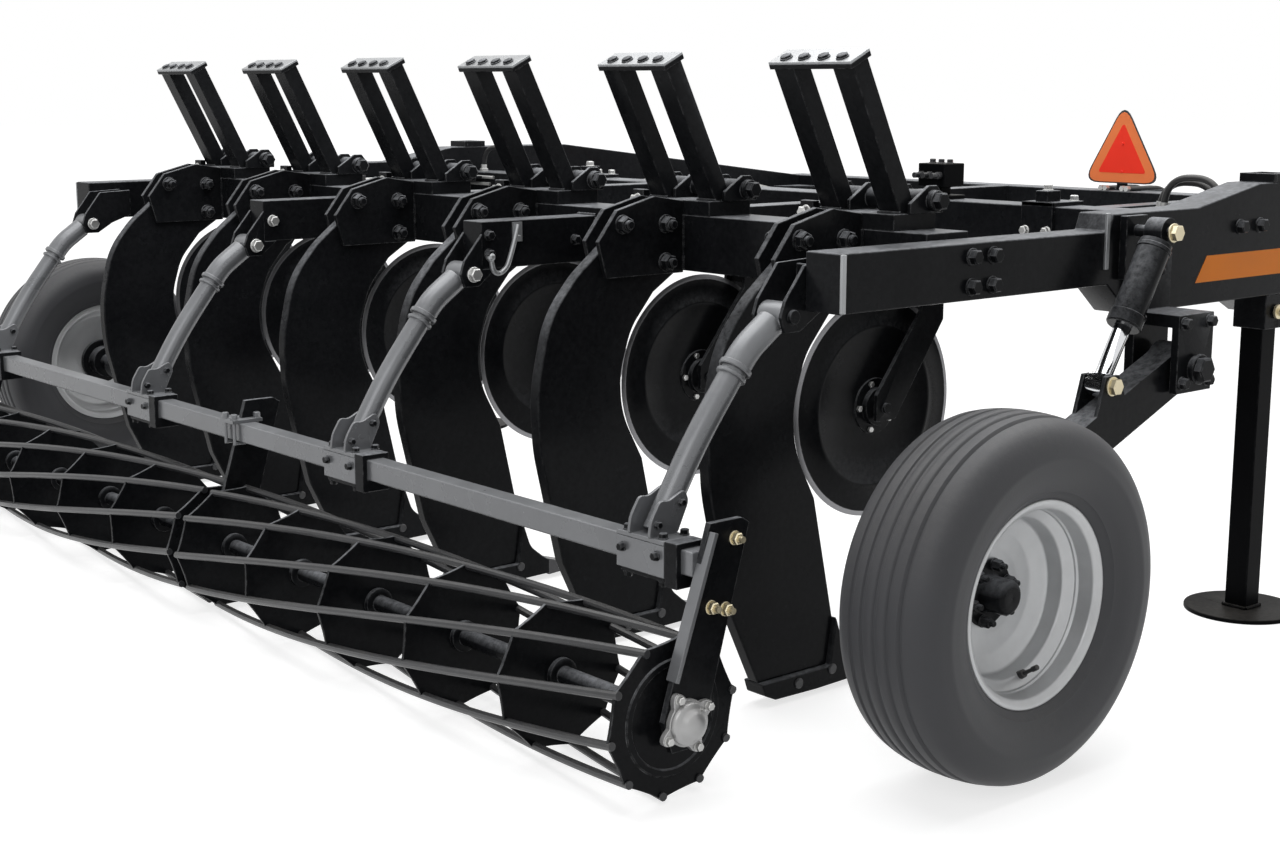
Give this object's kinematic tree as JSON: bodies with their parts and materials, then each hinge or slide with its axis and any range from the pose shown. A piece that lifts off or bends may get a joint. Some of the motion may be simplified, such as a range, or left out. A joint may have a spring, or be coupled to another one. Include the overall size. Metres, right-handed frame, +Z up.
{
  "type": "in-line subsoiler",
  "caption": "Pull-type in-line subsoiler with curved legs, disc coulters, lift wheels, a rolling basket behind and a clevis hitch.",
  "frame": {"origin": "on the floor under the middle of the machine's bounding box", "axes": "+X forward to the hitch, +Y to the machine's left, +Z up"},
  "size_m": [5.4, 4.56, 1.47],
  "materials": {
    "black_paint": "gloss",
    "grey_paint": "semi-gloss",
    "disc_steel": "gloss",
    "rim_silver": "satin",
    "tyre": "matte",
    "rod_chrome": "polished",
    "bearing_zinc": "satin",
    "sign_orange": "satin"
  },
  "bodies": {
    "frame": {"side_beam_left": "black_paint", "side_beam_right": "black_paint", "toolbar": "black_paint", "middle_tube": "black_paint", "front_tube": "black_paint", "inner_rail_left": "black_paint", "inner_rail_right": "black_paint", "tongue": "black_paint", "tongue_braces": "black_paint", "hitch_clevis": "black_paint", "leg_brackets": "black_paint", "leg_shoes": "black_paint", "coulter_forks": "black_paint", "wheel_bracket_left": "black_paint", "wheel_bracket_right": "black_paint", "stand_sleeves": "black_paint", "basket_lugs": "black_paint", "warning_sign": "sign_orange", "sign_bracket": "black_paint", "shank_1": "black_paint", "shank_2": "black_paint", "shank_3": "black_paint", "shank_4": "black_paint", "shank_5": "black_paint", "shank_6": "black_paint", "reset_bars_1": "black_paint", "reset_bars_2": "black_paint", "reset_bars_3": "black_paint", "reset_bars_4": "black_paint", "reset_bars_5": "black_paint", "reset_bars_6": "black_paint"},
    "coulter_1": {"coulter_disc_1": "disc_steel"},
    "coulter_2": {"coulter_disc_2": "disc_steel"},
    "coulter_3": {"coulter_disc_3": "disc_steel"},
    "coulter_4": {"coulter_disc_4": "disc_steel"},
    "coulter_5": {"coulter_disc_5": "disc_steel"},
    "coulter_6": {"coulter_disc_6": "disc_steel"},
    "lift_arm_left": {"wheel_arm_left": "black_paint"},
    "wheel_left": {"wheel_hub_left": "black_paint", "rim_left": "rim_silver", "tyre_left": "tyre"},
    "cylinder_left": {"lift_barrel_left": "black_paint"},
    "rod_left": {"lift_rod_left": "rod_chrome"},
    "stand_left": {"stand_left": "black_paint"},
    "lift_arm_right": {"wheel_arm_right": "black_paint"},
    "wheel_right": {"wheel_hub_right": "black_paint", "rim_right": "rim_silver", "tyre_right": "tyre"},
    "cylinder_right": {"lift_barrel_right": "black_paint"},
    "rod_right": {"lift_rod_right": "rod_chrome"},
    "stand_right": {"stand_right": "black_paint"},
    "basket_frame": {"basket_arms": "grey_paint", "basket_beam": "grey_paint", "basket_hangers": "black_paint", "basket_bearings": "bearing_zinc"},
    "basket_left": {"basket_left": "black_paint"},
    "basket_right": {"basket_right": "black_paint"}
  },
  "joints": [
    {"name": "coulter_1_spin", "type": "hinge", "parent": "frame", "child": "coulter_1", "pos_m": [-1.64, 1.525, 0.655], "axis": [0, 1, 0], "continuous": true},
    {"name": "coulter_2_spin", "type": "hinge", "parent": "frame", "child": "coulter_2", "pos_m": [-1.64, 0.915, 0.655], "axis": [0, 1, 0], "continuous": true},
    {"name": "coulter_3_spin", "type": "hinge", "parent": "frame", "child": "coulter_3", "pos_m": [-1.64, 0.305, 0.655], "axis": [0, 1, 0], "continuous": true},
    {"name": "coulter_4_spin", "type": "hinge", "parent": "frame", "child": "coulter_4", "pos_m": [-1.64, -0.305, 0.655], "axis": [0, 1, 0], "continuous": true},
    {"name": "coulter_5_spin", "type": "hinge", "parent": "frame", "child": "coulter_5", "pos_m": [-1.64, -0.915, 0.655], "axis": [0, 1, 0], "continuous": true},
    {"name": "coulter_6_spin", "type": "hinge", "parent": "frame", "child": "coulter_6", "pos_m": [-1.64, -1.525, 0.655], "axis": [0, 1, 0], "continuous": true},
    {"name": "wheel_lift_left", "type": "hinge", "parent": "frame", "child": "lift_arm_left", "pos_m": [-1.05, 1.935, 0.74], "axis": [0, 1, 0], "range_deg": [0, 25]},
    {"name": "wheel_left_spin", "type": "hinge", "parent": "lift_arm_left", "child": "wheel_left", "pos_m": [-1.93, 2.15, 0.38], "axis": [0, 1, 0], "continuous": true},
    {"name": "cylinder_left_swing", "type": "hinge", "parent": "frame", "child": "cylinder_left", "pos_m": [-1.12, 1.935, 1.06], "axis": [0, 1, 0], "range_deg": [-1, 12]},
    {"name": "cylinder_left_stroke", "type": "slide", "parent": "cylinder_left", "child": "rod_left", "axis": [-0.5294, 0, -0.8484], "range_m": [-0.12, 0.005]},
    {"name": "stand_left_slide", "type": "slide", "parent": "frame", "child": "stand_left", "axis": [0, 0, 1], "range_m": [0, 0.3]},
    {"name": "wheel_lift_right", "type": "hinge", "parent": "frame", "child": "lift_arm_right", "pos_m": [-1.05, -1.935, 0.74], "axis": [0, 1, 0], "range_deg": [0, 25]},
    {"name": "wheel_right_spin", "type": "hinge", "parent": "lift_arm_right", "child": "wheel_right", "pos_m": [-1.93, -2.15, 0.38], "axis": [0, 1, 0], "continuous": true},
    {"name": "cylinder_right_swing", "type": "hinge", "parent": "frame", "child": "cylinder_right", "pos_m": [-1.12, -1.935, 1.06], "axis": [0, 1, 0], "range_deg": [-1, 12]},
    {"name": "cylinder_right_stroke", "type": "slide", "parent": "cylinder_right", "child": "rod_right", "axis": [-0.5294, 0, -0.8484], "range_m": [-0.12, 0.005]},
    {"name": "stand_right_slide", "type": "slide", "parent": "frame", "child": "stand_right", "axis": [0, 0, 1], "range_m": [0, 0.3]},
    {"name": "basket_float", "type": "hinge", "parent": "frame", "child": "basket_frame", "pos_m": [-2.134, 0, 0.925], "axis": [0, 1, 0], "range_deg": [0, 18]},
    {"name": "basket_left_spin", "type": "hinge", "parent": "basket_frame", "child": "basket_left", "pos_m": [-2.53, 0.928, 0.173], "axis": [0, 1, 0], "continuous": true},
    {"name": "basket_right_spin", "type": "hinge", "parent": "basket_frame", "child": "basket_right", "pos_m": [-2.53, -0.928, 0.173], "axis": [0, 1, 0], "continuous": true}
  ],
  "couplings": [
    {"joint": "cylinder_left_swing", "follows": "wheel_lift_left", "ratio": 0.3844},
    {"joint": "cylinder_left_stroke", "follows": "wheel_lift_left", "m_per_rad": -0.24477},
    {"joint": "cylinder_right_swing", "follows": "wheel_lift_left", "ratio": 0.3844},
    {"joint": "cylinder_right_stroke", "follows": "wheel_lift_left", "m_per_rad": -0.24477},
    {"joint": "wheel_lift_right", "follows": "wheel_lift_left", "ratio": 1}
  ]
}
